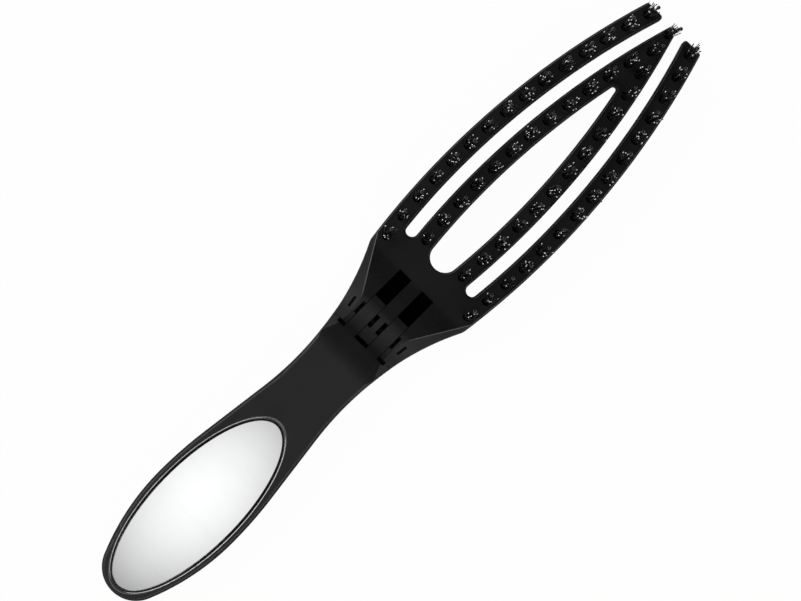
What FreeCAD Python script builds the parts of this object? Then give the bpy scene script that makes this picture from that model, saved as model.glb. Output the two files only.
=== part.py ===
import FreeCAD, Part
import Sketcher
import math
import os

# A folding vent hair brush with an oval mirror in its handle, in millimetres.
# The brush lies open on its back: +X runs from the handle to the tip of the head, +Y is its left side
# and +Z its bristle side. Every sub-part is drawn with the hinge pin over x = 0, and is then shifted
# along X so that the middle of the brush is over the origin.

SIZES = {
    # Whole brush
    "body_thickness": 10.0,
    # Hinge pin, and the knuckles that turn on it
    "pin_depth": 2.5,
    "pin_radius": 1.25,
    "pin_wall": 0.45,
    "pin_slit": 0.6,
    "pin_chamfer": 0.25,
    "pin_half_length": 7.9,
    "pin_bore_reach": 7.95,
    "pin_press_clearance": 0.01,
    "pin_running_clearance": 0.05,
    "finger_inner": 2.13,
    "finger_width": 3.92,
    "finger_reach": 5.19,
    "finger_round": 2.0,
    "finger_side_clearance": 0.16,
    "slot_floor": 1.3,
    "slot_reach": 14.56,
    "window_half_length": 1.95,
    "window_width": 1.1,
    "ear_window_width": 0.85,
    "tail_reach": 5.7,
    "stop_clearance": 0.1,
    "tail_gap": 0.9,
    "tail_gap_half_width": 8.5,
    "tail_relief": 0.3,
    "saddle_radius": 21.5,
    "saddle_depth": 1.2,
    "saddle_distance": 5.0,
    "handle_brink_radius": 11.0,
    "head_brink_radius": 9.9,
    # Sloped facets on both sides of the hinge
    "facet_low_half_width": 6.1,
    "facet_low_distance": 4.0,
    "facet_crease_radius": 10.0,
    "facet_handle_angle": 40.0,
    "facet_head_angle": 31.0,
    "facet_slope": 50.0,
    "facet_depth": 5.0,
    "crease_round": 0.6,
    "ear_slit_distance": 0.3,
    "ear_slit_half_width": 9.2,
    "ear_slit_length": 3.1,
    "ear_slit_width": 0.75,
    "ear_slit_angle": 8.0,
    "ear_slit_depth": 4.0,
    # Handle
    "handle_reach": 98.34,
    "handle_end_radius": 9.0,
    "handle_half_width": 13.45,
    "handle_widest_distance": 67.2,
    "handle_flank_radius": 118.0,
    "waist_half_width": 9.15,
    "waist_distance": 21.3,
    "waist_radius": 85.0,
    "handle_rim_round": 1.0,
    "seam_height": 4.7,
    "back_round": 3.5,
    "cover_floor": 1.8,
    "cavity_half_length": 26.0,
    "cavity_half_width": 8.6,
    "peg_radius": 1.2,
    "peg_height": 1.7,
    "peg_side_clearance": 0.05,
    "peg_end_clearance": 0.3,
    "peg_half_spacing": 5.2,
    "peg_near_distance": 20.0,
    "peg_far_distance": 34.0,
    "end_peg_wall": 1.6,
    # Mirror
    "mirror_distance": 66.55,
    "mirror_half_length": 29.46,
    "mirror_half_width": 11.11,
    "mirror_thickness": 1.8,
    "mirror_sink": 0.1,
    "mirror_side_clearance": 0.45,
    "mirror_bevel": 0.15,
    "tape_thickness": 0.5,
    "tape_margin": 2.0,
    "recess_round": 0.45,
    # Head
    "head_reach": 109.7,
    "crest_distance": 45.0,
    "head_half_width": 19.33,
    "head_tip_half_width": 9.69,
    "head_edge_radius": 222.0,
    "shoulder_distance": 14.4,
    "flare_radius": 70.0,
    "side_vent_outer": 13.85,
    "side_vent_outer_tip": 3.86,
    "side_vent_outer_radius": 214.5,
    "side_vent_inner": 10.48,
    "side_vent_inner_tip": 0.95,
    "side_vent_inner_radius": 222.0,
    "side_vent_start": 23.85,
    "centre_vent_half_width": 4.97,
    "centre_vent_radius": 203.0,
    "centre_vent_start": 20.99,
    "centre_vent_end": 21.6,
    "centre_vent_end_round": 0.7,
    "arm_thickness": 5.0,
    "tip_thickness": 4.2,
    "arm_end_round": 0.8,
    "arm_front_round": 0.6,
    "arm_back_round": 0.6,
    "shoulder_round": 4.0,
    "neck_back_reach": 16.5,
    "sweep_radius": 42.0,
    "sweep_lead": 4.0,
    # Bristle tufts
    "first_tuft_distance": 18.2,
    "tuft_pitch": 6.36,
    "tuft_hole_radius": 1.25,
    "tuft_hole_depth": 3.4,
    "tuft_end_margin": 2.3,
    "tuft_web": 0.2,
    "tuft_side_clearance": 0.03,
    "tuft_flare": 0.5,
    "boar_height": 7.5,
    "nylon_height": 8.4,
    "nylon_radius": 0.35,
    "nylon_ball_radius": 0.5,
    "nylon_clearance": 0.1,
    "anchor_height": 0.9,
    "anchor_thickness": 0.4,
    "anchor_end_clearance": 0.05,
}

SHEET = "Sizes"

# The least difference that counts, in millimetres, and how far round the mirror's recess its own edge reaches
LEVEL = 1e-4
RECESS_EDGE_REACH = 1.01


def cell(alias):
    """The sheet's name for a size, as expressions use it."""
    return SHEET + "." + alias


def size(alias):
    """A size as the sheet holds it."""
    return FreeCAD.ActiveDocument.getObject(SHEET).get(alias)


# Sizes that follow from others, as expressions
FRONT = cell("body_thickness")
PIN_HEIGHT = FRONT + " - " + cell("pin_depth")
FINGER_OUTER = cell("finger_inner") + " + " + cell("finger_width")
COVER_END = cell("tail_reach") + " + " + cell("stop_clearance")
FRAME_END = cell("tail_reach") + " + " + cell("tail_gap")
MIRROR_BACK = FRONT + " - " + cell("mirror_sink") + " - " + cell("mirror_thickness")
RECESS_FLOOR = MIRROR_BACK + " - " + cell("tape_thickness")
HOLE_FLOOR = FRONT + " - " + cell("tuft_hole_depth")
ANCHOR_TOP = HOLE_FLOOR + " + " + cell("anchor_height")
TUFT_RADIUS = cell("tuft_hole_radius") + " - " + cell("tuft_side_clearance")
MIDDLE_SHIFT = "(" + cell("handle_reach") + " - " + cell("head_reach") + ") / 2"

# Each long edge of the head is two arcs that meet at its crest: its half-width there, the radius of the arc
# towards the neck, and its half-width at the tip. The vent in the middle has a round end short of the tip.
HEAD_EDGE = ("head_half_width", "head_edge_radius", "head_tip_half_width")
VENT_OUTER_EDGE = ("side_vent_outer", "side_vent_outer_radius", "side_vent_outer_tip")
VENT_INNER_EDGE = ("side_vent_inner", "side_vent_inner_radius", "side_vent_inner_tip")
CENTRE_EDGE = ("centre_vent_half_width", "centre_vent_radius", None)
OUTER_ARM = (HEAD_EDGE, VENT_OUTER_EDGE)
INNER_ARM = (VENT_INNER_EDGE, CENTRE_EDGE)


class Amount:
    """A length that is worked out from the sheet: its value, and the expression that follows the sheet."""

    def __init__(self, value, text):
        self.value = value
        self.text = text

    def __add__(self, other):
        return Amount(self.value + other.value, "(" + self.text + " + " + other.text + ")")

    def __sub__(self, other):
        return Amount(self.value - other.value, "(" + self.text + " - " + other.text + ")")

    def __truediv__(self, other):
        return Amount(self.value / other.value, "(" + self.text + " / " + other.text + ")")

    def times(self, number):
        return Amount(self.value * number, "(%s * %s)" % (self.text, number))

    def squared(self):
        return Amount(self.value ** 2, self.text + "^2")

    def root(self):
        return Amount(math.sqrt(self.value), "sqrt(" + self.text + ")")


def amount(alias):
    return Amount(size(alias), cell(alias))


def arc_sag(radius, reach):
    """How far an arc has left the tangent at its crest, at a reach along that tangent."""
    return radius - (radius.squared() - reach.squared()).root()


def sag_radius(sag, reach):
    """Radius of the arc that leaves the tangent at its crest by a sag, at a reach along that tangent."""
    return (reach.squared() + sag.squared()) / sag.times(2)


def make_sheet(doc):
    sheet = doc.addObject("Spreadsheet::Sheet", SHEET)
    for row, (alias, value) in enumerate(SIZES.items(), start=1):
        sheet.set("A%d" % row, alias.replace("_", " "))
        sheet.set("B%d" % row, str(value))
        sheet.setAlias("B%d" % row, alias)
    doc.recompute()


class Sketch:
    """A sketch on one of a body's origin planes, with helpers that bind its sizes to the sheet."""

    def __init__(self, body, name, plane="XY_Plane", height=None):
        self.object = body.newObject("Sketcher::SketchObject", name)
        self.object.AttachmentSupport = [(origin_plane(body, plane), "")]
        self.object.MapMode = "FlatFace"
        if height:
            self.object.setExpression("AttachmentOffset.Base.z", height)

    def line(self, start, end):
        segment = Part.LineSegment(FreeCAD.Vector(*start, 0), FreeCAD.Vector(*end, 0))
        return (self.object.addGeometry(segment), 1, 2)

    def arc(self, centre, start, end, clockwise=False):
        """An arc from one point to another, with the numbers of its ends in drawing order."""
        angles = [math.atan2(point[1] - centre[1], point[0] - centre[0]) for point in (start, end)]
        if clockwise:
            angles.reverse()
        if angles[1] < angles[0]:
            angles[1] += 2 * math.pi
        radius = math.dist(centre, start)
        circle = Part.Circle(FreeCAD.Vector(*centre, 0), FreeCAD.Vector(0, 0, 1), radius)
        number = self.object.addGeometry(Part.ArcOfCircle(circle, *angles))
        return (number, 2, 1) if clockwise else (number, 1, 2)

    def circle(self, centre, radius, expression):
        circle = Part.Circle(FreeCAD.Vector(*centre, 0), FreeCAD.Vector(0, 0, 1), radius)
        number = self.object.addGeometry(circle)
        self.radius(number, expression)
        return number

    def constrain(self, kind, *references):
        self.object.addConstraint(Sketcher.Constraint(kind, *references))

    def drive(self, expression, kind, *references):
        """A constraint whose value is an expression on the sheet."""
        number = self.object.addConstraint(Sketcher.Constraint(kind, *references))
        self.object.setExpression("Constraints[%d]" % number, expression)

    def join(self, before, after, tangent=False):
        self.constrain("Tangent" if tangent else "Coincident", before[0], before[2], after[0], after[1])

    def radius(self, number, expression):
        self.drive(expression, "Radius", number, self.object.Geometry[number].Radius)

    def at(self, number, end, x=None, y=None):
        """Hold a point at distances from the two axes, on the side of each axis where it is drawn."""
        point = self.object.getPoint(number, end)
        for kind, value, expression in (("DistanceX", point.x, x), ("DistanceY", point.y, y)):
            if expression:
                ends = (-1, 1, number, end) if value > 0 else (number, end, -1, 1)
                self.drive(expression, kind, *ends, abs(value))

    def on_axis(self, number, end):
        self.constrain("PointOnObject", number, end, -1)

    def on_cross_axis(self, number, end):
        self.constrain("PointOnObject", number, end, -2)

    def rectangle(self, low, high, x_low, x_high, y_low, y_high):
        """A rectangle between two corners, whose sides are held at four expressions."""
        corners = [low, (high[0], low[1]), high, (low[0], high[1])]
        sides = [self.line(corners[index], corners[(index + 1) % 4]) for index in range(4)]
        for index, side in enumerate(sides):
            self.join(side, sides[(index + 1) % 4])
            self.constrain("Vertical" if index % 2 else "Horizontal", side[0])
        self.at(sides[0][0], 1, x=x_low, y=y_low)
        self.at(sides[2][0], 1, x=x_high, y=y_high)


def origin_plane(body, role):
    return [feature for feature in body.Origin.OriginFeatures if feature.Role == role][0]


def new_body(doc, label):
    body = doc.addObject("PartDesign::Body", label)
    body.Label = label
    body.setExpression("Placement.Base.x", MIDDLE_SHIFT)
    return body


def extrude(body, kind, name, sketch, length=None, **settings):
    feature = body.newObject("PartDesign::" + kind, name)
    feature.Profile = sketch.object
    for setting, value in settings.items():
        setattr(feature, setting, value)
    if length:
        feature.setExpression("Length", length)
    FreeCAD.ActiveDocument.recompute()
    return feature


def pad(body, name, sketch, length, **settings):
    return extrude(body, "Pad", name, sketch, length, **settings)


def cut(body, name, sketch, length=None, **settings):
    """A pocket, to a depth or right through, that has to take material away."""
    before = body.Tip.Shape.Volume
    if not length:
        settings["Type"] = "ThroughAll"
    feature = extrude(body, "Pocket", name, sketch, length, **settings)
    if not feature.Shape.Volume < before - LEVEL:
        raise RuntimeError(body.Label + ": " + name + " cuts nothing")
    return feature


def finish_edges(body, kind, name, amount, wanted):
    """Fillet or chamfer the edges of the body so far that pass a test on the edge and its middle point."""
    base = body.Tip
    names = []
    for number, edge in enumerate(base.Shape.Edges, start=1):
        middle = edge.valueAt((edge.FirstParameter + edge.LastParameter) / 2)
        if wanted(edge.BoundBox, middle):
            names.append("Edge%d" % number)
    feature = body.newObject("PartDesign::" + kind, name)
    feature.Base = (base, names)
    feature.setExpression("Radius" if kind == "Fillet" else "Size", cell(amount))
    FreeCAD.ActiveDocument.recompute()
    return feature


def mirror_halves(body):
    """Add the right half of a body that was drawn on its left side."""
    feature = body.newObject("PartDesign::Mirrored", "both_halves")
    feature.MirrorPlane = (origin_plane(body, "XZ_Plane"), [""])
    feature.TransformMode = "Whole shape"
    body.Tip = feature
    FreeCAD.ActiveDocument.recompute()


def level_at(box, height):
    """Whether an edge's box lies in the level plane at a height."""
    return abs(box.ZMax - height) < LEVEL and abs(box.ZMin - height) < LEVEL


def off_middle(box):
    """Whether an edge's box leaves the plane between the two halves."""
    return box.YMax > LEVEL


def oval(body, name, height, half_length, half_width):
    """An oval sketch round the middle of the mirror, level with the brush."""
    sketch = Sketch(body, name, height=height)
    centre = FreeCAD.Vector(-size("mirror_distance"), 0, 0)
    ellipse = Part.Ellipse(centre, size("mirror_half_length"), size("mirror_half_width"))
    number = sketch.object.addGeometry(ellipse)
    sketch.object.exposeInternalGeometry(number)
    long_axis = number + 1
    short_axis = number + 2
    sketch.on_axis(number, 3)
    sketch.at(number, 3, x=cell("mirror_distance"))
    sketch.constrain("Horizontal", long_axis)
    for axis, half in ((long_axis, half_length), (short_axis, half_width)):
        sketch.drive("2 * (" + half + ")", "Distance", axis, sketch.object.Geometry[axis].length())
    return sketch


def handle_outline(body, height, corners):
    """The left half of the handle's outline. The corners step inwards along its end at the hinge."""
    sketch = Sketch(body, "outline", height=height)
    reach = size("handle_reach")
    end_radius = size("handle_end_radius")
    end_centre = (end_radius - reach, 0)
    widest = (-size("handle_widest_distance"), size("handle_half_width"))
    run = end_centre[0] - widest[0]
    side_radius = (run ** 2 + widest[1] ** 2 - end_radius ** 2) / (2 * (widest[1] - end_radius))
    side_centre = (widest[0], widest[1] - side_radius)
    flank_radius = size("handle_flank_radius")
    flank_centre = (widest[0], widest[1] - flank_radius)
    waist_radius = size("waist_radius")
    waist_centre = (-size("waist_distance"), size("waist_half_width") + waist_radius)
    span = (waist_centre[0] - flank_centre[0], waist_centre[1] - flank_centre[1])
    lean = math.atan2(span[1], span[0]) + math.acos((flank_radius + waist_radius) / math.hypot(*span))
    end_top = polar(end_centre, end_radius, math.atan2(-side_centre[1], run))
    flank_end = polar(flank_centre, flank_radius, lean)
    waist_start = polar(waist_centre, -waist_radius, lean)
    hinge_end = (corners[0][0], waist_half_width(Amount(-corners[0][0], corners[0][2])).value)

    end = sketch.arc(end_centre, (-reach, 0), end_top, clockwise=True)
    side = sketch.arc(side_centre, end_top, widest, clockwise=True)
    flank = sketch.arc(flank_centre, widest, flank_end, clockwise=True)
    taper = sketch.line(flank_end, waist_start)
    waist = sketch.arc(waist_centre, waist_start, hinge_end)
    sketch.join(end, side, tangent=True)
    sketch.join(side, flank)
    sketch.join(flank, taper, tangent=True)
    sketch.join(taper, waist, tangent=True)
    sketch.on_axis(end[0], 3)
    sketch.on_axis(end[0], end[1])
    sketch.at(end[0], end[1], x=cell("handle_reach"))
    sketch.radius(end[0], cell("handle_end_radius"))
    sketch.at(side[0], side[2], x=cell("handle_widest_distance"), y=cell("handle_half_width"))
    sketch.at(side[0], 3, x=cell("handle_widest_distance"))
    sketch.at(flank[0], 3, x=cell("handle_widest_distance"))
    sketch.radius(flank[0], cell("handle_flank_radius"))
    sketch.at(waist[0], 3, cell("waist_distance"), cell("waist_half_width") + " + " + cell("waist_radius"))
    sketch.radius(waist[0], cell("waist_radius"))
    sketch.at(waist[0], waist[2], x=corners[0][2])

    previous = waist
    last = hinge_end
    for index, (x, y, x_size, y_size) in enumerate(corners):
        step = sketch.line(last, (x, y))
        sketch.join(previous, step)
        if index % 2:
            sketch.constrain("Horizontal", step[0])
            sketch.at(step[0], 2, x=x_size)
        else:
            sketch.constrain("Vertical", step[0])
            if y_size:
                sketch.at(step[0], 2, y=y_size)
            else:
                sketch.on_axis(step[0], 2)
        previous = step
        last = (x, y)
    axis = sketch.line(last, (-reach, 0))
    sketch.join(previous, axis)
    sketch.join(axis, end)
    return sketch


def polar(centre, radius, angle):
    return (centre[0] + radius * math.cos(angle), centre[1] + radius * math.sin(angle))


def waist_half_width(distance):
    """Half the width of the waist at a distance from the hinge pin."""
    reach = amount("waist_distance") - distance
    return amount("waist_half_width") + arc_sag(amount("waist_radius"), reach)


def facet_cut(body):
    """The facet beside the hinge: it leaves the front along a crease and slopes outwards as it goes down."""
    sketch = Sketch(body, "facet_crease", height=FRONT)
    radius = size("facet_crease_radius")
    centre = (-size("facet_low_distance"), size("facet_low_half_width") + radius)
    top = size("head_half_width") + size("body_thickness")
    handle_angle = math.radians(size("facet_handle_angle"))
    head_angle = math.radians(size("facet_head_angle"))
    handle_side = polar(centre, radius, -math.pi / 2 - handle_angle)
    head_side = polar(centre, radius, -math.pi / 2 + head_angle)
    handle_far = (handle_side[0] - (top - handle_side[1]) / math.tan(handle_angle), top)
    head_far = (head_side[0] + (top - head_side[1]) / math.tan(head_angle), top)
    handle_line = sketch.line(handle_far, handle_side)
    bottom = sketch.arc(centre, handle_side, head_side)
    head_line = sketch.line(head_side, head_far)
    closing = sketch.line(head_far, handle_far)
    sketch.join(handle_line, bottom, tangent=True)
    sketch.join(bottom, head_line, tangent=True)
    sketch.join(head_line, closing)
    sketch.join(closing, handle_line)
    sketch.constrain("Horizontal", closing[0])
    sketch.at(closing[0], 1, y=cell("head_half_width") + " + " + FRONT)
    sketch.at(bottom[0], 3, cell("facet_low_distance"),
              cell("facet_low_half_width") + " + " + cell("facet_crease_radius"))
    sketch.radius(bottom[0], cell("facet_crease_radius"))
    sketch.drive(cell("facet_head_angle") + " * 1 deg", "Angle", head_line[0], head_angle)
    sketch.drive("-" + cell("facet_handle_angle") + " * 1 deg", "Angle", handle_line[0], -handle_angle)
    feature = cut(body, "facet", sketch, cell("facet_depth"))
    feature.setExpression("TaperAngle", "-" + cell("facet_slope"))
    FreeCAD.ActiveDocument.recompute()


def saddle_cut(body):
    """The hollow across the front at the hinge, round at its brinks, which gives way for the head."""
    sketch = Sketch(body, "saddle_profile", "XZ_Plane")
    front = size("body_thickness")
    radius = size("saddle_radius")
    top = front + size("saddle_depth")
    centre = (-size("saddle_distance"), front - size("saddle_depth") + radius)
    brinks = []
    for alias, way in (("handle_brink_radius", -1), ("head_brink_radius", 1)):
        brink = size(alias)
        rise = centre[1] - front + brink
        brink_centre = (centre[0] + way * math.sqrt((radius + brink) ** 2 - rise ** 2), front - brink)
        foot = polar(brink_centre, brink, math.atan2(rise, centre[0] - brink_centre[0]))
        brinks.append((brink_centre, foot))
    (handle_centre, handle_foot), (head_centre, head_foot) = brinks
    handle_brink = sketch.arc(handle_centre, (handle_centre[0], front), handle_foot, clockwise=True)
    hollow = sketch.arc(centre, handle_foot, head_foot)
    head_brink = sketch.arc(head_centre, head_foot, (head_centre[0], front), clockwise=True)
    head_side = sketch.line((head_centre[0], front), (head_centre[0], top))
    over = sketch.line((head_centre[0], top), (handle_centre[0], top))
    handle_side = sketch.line((handle_centre[0], top), (handle_centre[0], front))
    sketch.join(handle_brink, hollow, tangent=True)
    sketch.join(hollow, head_brink, tangent=True)
    for before, after in ((head_brink, head_side), (head_side, over), (over, handle_side),
                          (handle_side, handle_brink)):
        sketch.join(before, after)
    sketch.constrain("Vertical", head_side[0])
    sketch.constrain("Horizontal", over[0])
    sketch.constrain("Vertical", handle_side[0])
    sketch.at(over[0], 1, y=FRONT + " + " + cell("saddle_depth"))
    sketch.radius(hollow[0], cell("saddle_radius"))
    sketch.at(hollow[0], 3, cell("saddle_distance"),
              FRONT + " - " + cell("saddle_depth") + " + " + cell("saddle_radius"))
    for brink, end, alias in ((handle_brink, 1, "handle_brink_radius"), (head_brink, 2, "head_brink_radius")):
        sketch.radius(brink[0], cell(alias))
        sketch.at(brink[0], brink[end], y=FRONT)
        sketch.constrain("Vertical", brink[0], 3, brink[0], brink[end])
    cut(body, "saddle", sketch)


def pin_bore(body, clearance):
    """The bore for the hinge pin, which ends inside the ear."""
    sketch = Sketch(body, "pin_circle", "XZ_Plane")
    height = size("body_thickness") - size("pin_depth")
    circle = sketch.circle((0, height), size("pin_radius"), cell("pin_radius") + " + " + cell(clearance))
    sketch.on_cross_axis(circle, 3)
    sketch.at(circle, 3, y=PIN_HEIGHT)
    cut(body, "pin_bore", sketch, cell("pin_bore_reach"))


def peg_circles(body, radius, expression):
    """Circles for the pegs that locate the halves of the handle: two on the left and one at the end."""
    sketch = Sketch(body, "peg_circles", height=cell("seam_height"))
    for alias in ("peg_near_distance", "peg_far_distance"):
        circle = sketch.circle((-size(alias), size("peg_half_spacing")), radius, expression)
        sketch.at(circle, 3, cell(alias), cell("peg_half_spacing"))
    cavity_end = size("mirror_distance") + size("cavity_half_length")
    end_peg = sketch.circle((-cavity_end - size("end_peg_wall") - radius, 0), radius, expression)
    sketch.on_axis(end_peg, 3)
    sketch.at(end_peg, 3, x=" + ".join(
        cell(alias) for alias in ("mirror_distance", "cavity_half_length", "end_peg_wall", "peg_radius")))
    return sketch


def make_handle_front_frame(doc):
    body = new_body(doc, "handle_front_frame")
    end = -size("tail_reach") - size("stop_clearance")
    wall = -size("tail_reach") - size("tail_gap")
    gap = size("tail_gap_half_width")
    inner = size("finger_inner")
    outer = inner + size("finger_width")
    reach = size("finger_reach")
    front = size("body_thickness")
    corners = [
        (end, gap, COVER_END, cell("tail_gap_half_width")),
        (wall, gap, FRAME_END, None),
        (wall, outer, None, FINGER_OUTER),
        (reach, outer, cell("finger_reach"), None),
        (reach, inner, None, cell("finger_inner")),
        (wall, inner, FRAME_END, None),
        (wall, 0, None, None),
    ]
    outline = handle_outline(body, cell("seam_height"), corners)
    pad(body, "plate", outline, FRONT + " - " + cell("seam_height"))
    finish_edges(body, "Fillet", "finger_ends", "finger_round",
                 lambda box, middle: level_at(box, size("seam_height")) and box.XMin > reach - LEVEL)
    widest = -size("handle_widest_distance")
    finish_edges(body, "Fillet", "rim", "handle_rim_round",
                 lambda box, middle: level_at(box, front) and off_middle(box) and box.XLength > LEVEL
                 and (middle.y > gap + LEVEL or middle.x < widest))
    facet_cut(body)
    saddle_cut(body)
    half_length = cell("mirror_half_length") + " + " + cell("mirror_side_clearance")
    half_width = cell("mirror_half_width") + " + " + cell("mirror_side_clearance")
    recess = oval(body, "recess_oval", FRONT, half_length, half_width)
    cut(body, "recess", recess, FRONT + " - (" + RECESS_FLOOR + ")")
    finish_edges(body, "Fillet", "recess_edge", "recess_round",
                 lambda box, middle: level_at(box, front) and off_middle(box) and middle.x < wall
                 and oval_reach(middle) < RECESS_EDGE_REACH)
    pin_bore(body, "pin_running_clearance")
    sockets = peg_circles(body, size("peg_radius"), cell("peg_radius") + " + " + cell("peg_side_clearance"))
    cut(body, "sockets", sockets, cell("peg_height") + " + " + cell("peg_end_clearance"), Reversed=True)
    mirror_halves(body)
    return body


def oval_reach(point):
    """How far out a point of the front lies, as a share of the way to the edge of the mirror's recess."""
    clearance = size("mirror_side_clearance")
    along = (point.x + size("mirror_distance")) / (size("mirror_half_length") + clearance)
    return math.hypot(along, point.y / (size("mirror_half_width") + clearance))


def make_handle_back_cover(doc):
    body = new_body(doc, "handle_back_cover")
    end = -size("tail_reach") - size("stop_clearance")
    outline = handle_outline(body, None, [(end, 0, COVER_END, None)])
    pad(body, "shell", outline, cell("seam_height"))
    finish_edges(body, "Fillet", "back_edge", "back_round",
                 lambda box, middle: level_at(box, 0) and off_middle(box) and box.XLength > LEVEL)
    cavity = oval(body, "cavity_oval", cell("seam_height"), cell("cavity_half_length"),
                  cell("cavity_half_width"))
    cut(body, "cavity", cavity, cell("seam_height") + " - " + cell("cover_floor"))
    pegs = peg_circles(body, size("peg_radius"), cell("peg_radius"))
    pad(body, "pegs", pegs, cell("peg_height"))
    mirror_halves(body)
    return body


def make_mirror(doc):
    body = new_body(doc, "mirror")
    glass = oval(body, "glass_oval", MIRROR_BACK, cell("mirror_half_length"), cell("mirror_half_width"))
    pad(body, "glass", glass, cell("mirror_thickness"))
    top = size("body_thickness") - size("mirror_sink")
    finish_edges(body, "Chamfer", "bevel", "mirror_bevel", lambda box, middle: level_at(box, top))
    return body


def make_mirror_tape(doc):
    body = new_body(doc, "mirror_tape")
    margin = " - " + cell("tape_margin")
    tape = oval(body, "tape_oval", RECESS_FLOOR, cell("mirror_half_length") + margin,
                cell("mirror_half_width") + margin)
    pad(body, "tape", tape, cell("tape_thickness"))
    return body


def make_hinge_pin(doc):
    """A slotted spring pin: a rolled tube with a slit along its underside."""
    body = new_body(doc, "hinge_pin")
    height = size("body_thickness") - size("pin_depth")
    radius = size("pin_radius")
    bore = radius - size("pin_wall")
    rings = Sketch(body, "tube_rings", "XZ_Plane")
    bore_size = cell("pin_radius") + " - " + cell("pin_wall")
    for ring, expression in ((radius, cell("pin_radius")), (bore, bore_size)):
        circle = rings.circle((0, height), ring, expression)
        rings.on_cross_axis(circle, 3)
        rings.at(circle, 3, y=PIN_HEIGHT)
    pad(body, "tube", rings, "2 * " + cell("pin_half_length"), Midplane=True)
    finish_edges(body, "Chamfer", "tube_ends", "pin_chamfer",
                 lambda box, middle: box.YLength < LEVEL and box.XLength > 2 * bore + LEVEL)
    slit = Sketch(body, "slit_outline", "XZ_Plane")
    half = cell("pin_slit") + " / 2"
    slit.rectangle((-size("pin_slit") / 2, height - 2 * radius), (size("pin_slit") / 2, height),
                   half, half, PIN_HEIGHT + " - 2 * " + cell("pin_radius"), PIN_HEIGHT)
    cut(body, "slit", slit, Midplane=True)
    return body


def edge_radius(edge, towards_tip):
    """Radius of one of the two arcs of a long edge."""
    crest, neck_radius, tip = edge
    if not towards_tip:
        return amount(neck_radius)
    reach = amount("head_reach") - amount("crest_distance")
    if tip:
        return sag_radius(amount(crest) - amount(tip), reach)
    end_round = amount("centre_vent_end_round")
    reach = reach - amount("centre_vent_end") - end_round
    return end_round + sag_radius(amount(crest) - end_round, reach)


def edge_half_width(edge, x):
    """Half-width of a long edge at x."""
    reach = x - amount("crest_distance")
    return amount(edge[0]) - arc_sag(edge_radius(edge, reach.value > 0), reach)


def long_edge(sketch, edge, start, end):
    """Draw a long edge from one value of x to another, and give its two arcs in drawing order."""
    crest = amount("crest_distance")
    points = [(x.value, edge_half_width(edge, x).value) for x in (start, crest, end)]
    arcs = []
    for before, after in zip(points, points[1:]):
        radius = edge_radius(edge, before[0] + after[0] > 2 * crest.value)
        centre = (crest.value, size(edge[0]) - radius.value)
        arc = sketch.arc(centre, before, after, clockwise=before[0] < after[0])
        sketch.at(arc[0], 3, x=crest.text)
        sketch.radius(arc[0], radius.text)
        arcs.append(arc)
    sketch.at(arcs[0][0], arcs[0][2], crest.text, cell(edge[0]))
    sketch.join(*arcs)
    return arcs


def head_outline(body):
    """The left half of the head's outline: its tail at the hinge, the flared neck and the outer edge."""
    sketch = Sketch(body, "outline")
    tail = size("tail_reach")
    reach = size("head_reach")
    shoulder_distance = amount("shoulder_distance")
    near, far = long_edge(sketch, HEAD_EDGE, shoulder_distance, amount("head_reach"))
    neck_half_width = waist_half_width(amount("tail_reach"))
    neck = (-tail, neck_half_width.value)
    shoulder = (shoulder_distance.value, edge_half_width(HEAD_EDGE, shoulder_distance).value)
    half_chord = math.dist(neck, shoulder) / 2
    rise = math.sqrt(size("flare_radius") ** 2 - half_chord ** 2)
    slope = math.atan2(shoulder[1] - neck[1], shoulder[0] - neck[0])
    middle = ((neck[0] + shoulder[0]) / 2, (neck[1] + shoulder[1]) / 2)
    flare = sketch.arc(polar(middle, rise, slope + math.pi / 2), neck, shoulder)
    tail_side = sketch.line((-tail, 0), neck)
    tip_side = sketch.line((reach, size("head_tip_half_width")), (reach, 0))
    axis = sketch.line((reach, 0), (-tail, 0))
    joints = ((tail_side, flare), (flare, near), (far, tip_side), (tip_side, axis), (axis, tail_side))
    for before, after in joints:
        sketch.join(before, after)
    sketch.constrain("Vertical", tail_side[0])
    sketch.constrain("Vertical", tip_side[0])
    sketch.on_axis(tail_side[0], 1)
    sketch.on_axis(tip_side[0], 2)
    sketch.at(tail_side[0], 2, cell("tail_reach"), neck_half_width.text)
    sketch.radius(flare[0], cell("flare_radius"))
    sketch.at(near[0], near[1], x=cell("shoulder_distance"))
    sketch.at(far[0], far[2], x=cell("head_reach"))
    return sketch


def centre_vent(body):
    """The left half of the long vent between the inner arms, round at the neck and narrow at its far end."""
    sketch = Sketch(body, "centre_vent_outline", height=FRONT)
    crest = size("crest_distance")
    start = size("centre_vent_start")
    end = size("head_reach") - size("centre_vent_end")
    side_radius = size("centre_vent_radius")
    drop = side_radius - size("centre_vent_half_width")
    near_radius = (side_radius ** 2 - drop ** 2 - (crest - start) ** 2) / (2 * (side_radius - crest + start))
    far_radius = size("centre_vent_end_round")
    near_centre = (start + near_radius, 0)
    far_centre = (end - far_radius, 0)
    near_top = round_end_top(near_centre, near_radius, False)
    far_top = round_end_top(far_centre, far_radius, True)
    near = sketch.arc(near_centre, (start, 0), near_top, clockwise=True)
    sides = long_edge(sketch, CENTRE_EDGE, Amount(near_top[0], ""), Amount(far_top[0], ""))
    far = sketch.arc(far_centre, far_top, (end, 0), clockwise=True)
    axis = sketch.line((end, 0), (start, 0))
    sketch.join(near, sides[0], tangent=True)
    sketch.join(sides[1], far, tangent=True)
    sketch.join(far, axis)
    sketch.join(axis, near)
    for number, point in ((near[0], 3), (far[0], 3), (axis[0], 1), (axis[0], 2)):
        sketch.on_axis(number, point)
    sketch.at(axis[0], 1, x=cell("head_reach") + " - " + cell("centre_vent_end"))
    sketch.at(axis[0], 2, x=cell("centre_vent_start"))
    cut(body, "centre_vent", sketch)


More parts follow.
